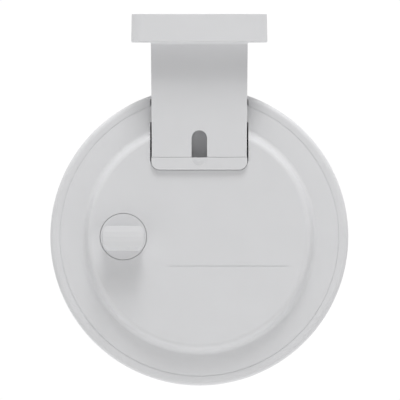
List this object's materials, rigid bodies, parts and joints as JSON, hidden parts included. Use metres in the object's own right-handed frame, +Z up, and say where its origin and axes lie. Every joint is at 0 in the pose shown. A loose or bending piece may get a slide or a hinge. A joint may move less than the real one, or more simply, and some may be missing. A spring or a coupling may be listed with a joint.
{
  "type": "nursery monitor camera",
  "caption": "Disc-shaped nursery camera with a rear dial, hung by a friction tilt hinge from a flat T-shaped mounting arm.",
  "frame": {"origin": "mouth of the tripod thread at the centre of the foot's top face", "axes": "+Z up out of the foot's top face, +Y the way the lens looks, +X to the right as seen from behind"},
  "size_m": [0.11, 0.0428, 0.137],
  "materials": {
    "arm_shell": "fine matte texture",
    "foot_lid": "fine matte texture",
    "foot_pad": "soft matte silicone",
    "brass": "machined",
    "screw_steel": "zinc plated",
    "pin_steel": "black oxide",
    "acetal": "smooth",
    "housing_shell": "fine matte texture",
    "rear_shell": "fine matte texture",
    "cap_shell": "fine matte texture",
    "soft_rubber": "soft matte silicone",
    "dial_shell": "fine matte texture",
    "black_plastic": "matte",
    "button_shell": "fine matte texture",
    "fascia_shell": "fine matte texture",
    "dark_window": "polished, dark tint",
    "light_diffuser": "frosted translucent",
    "bezel": "satin rings",
    "lens_glass": "coated",
    "chip": "moulded",
    "filter_glass": "coated",
    "circuit_board": "solder mask",
    "ir_lamp": "clear dark lens",
    "white_lamp": "phosphor dome",
    "can_metal": "tin plated",
    "black_metal": "satin black",
    "speaker_paper": "pressed paper",
    "foam": "open foam",
    "spreader_metal": "brushed",
    "connector_plastic": "moulded",
    "ribbon": "polyimide film",
    "antenna_film": "copper on film"
  },
  "bodies": {
    "bracket": {"mount_arm": "arm_shell", "foot_lid": "foot_lid", "foot_pad": "foot_pad", "tripod_insert": "brass", "lid_screws": "screw_steel", "hinge_pin_left": "pin_steel", "hinge_pin_right": "pin_steel"},
    "camera": {"hinge_bush_left": "acetal", "hinge_bush_right": "acetal", "front_housing": "housing_shell", "rear_cover": "rear_shell", "hinge_cap": "cap_shell", "rest_bumper": "soft_rubber", "dial_encoder": "black_plastic", "button_switch": "black_plastic", "front_chassis": "black_plastic", "fascia": "fascia_shell", "window": "dark_window", "light_ring": "light_diffuser", "lens_bezel": "bezel", "lens_barrel": "black_plastic", "lens_front_element": "lens_glass", "lens_rear_element": "lens_glass", "lens_holder": "black_plastic", "image_sensor": "chip", "ir_filter": "filter_glass", "ir_board": "circuit_board", "night_light_board": "circuit_board", "ir_leds": "ir_lamp", "night_light_leds": "white_lamp", "light_sensor": "ir_lamp", "status_led": "white_lamp", "microphone": "can_metal", "speaker_basket": "black_metal", "speaker_cone": "speaker_paper", "speaker_magnet": "can_metal", "speaker_gasket": "foam", "main_board": "circuit_board", "shield_can": "can_metal", "heat_spreader": "spreader_metal", "power_socket": "can_metal", "power_socket_tongue": "black_plastic", "board_connectors": "connector_plastic", "board_ribbon": "ribbon", "chassis_screws": "screw_steel", "board_screws": "screw_steel", "cover_seal": "soft_rubber", "antenna": "antenna_film"},
    "dial": {"dial_knob": "dial_shell", "dial_shaft": "pin_steel"},
    "button": {"power_button": "button_shell"}
  },
  "joints": [
    {"name": "tilt", "type": "hinge", "parent": "bracket", "child": "camera", "pos_m": [0, -0.005, -0.0481], "axis": [-1, 0, 0], "range_deg": [-6, 60]},
    {"name": "dial_turn", "type": "hinge", "parent": "camera", "child": "dial", "pos_m": [-0.028, -0.011, -0.082], "axis": [0, -1, 0], "range_deg": [-135, 135]},
    {"name": "button_press", "type": "slide", "parent": "camera", "child": "button", "axis": [-1, 0, 0], "range_m": [0, 0.0008], "stiffness_N_per_m": 900}
  ]
}
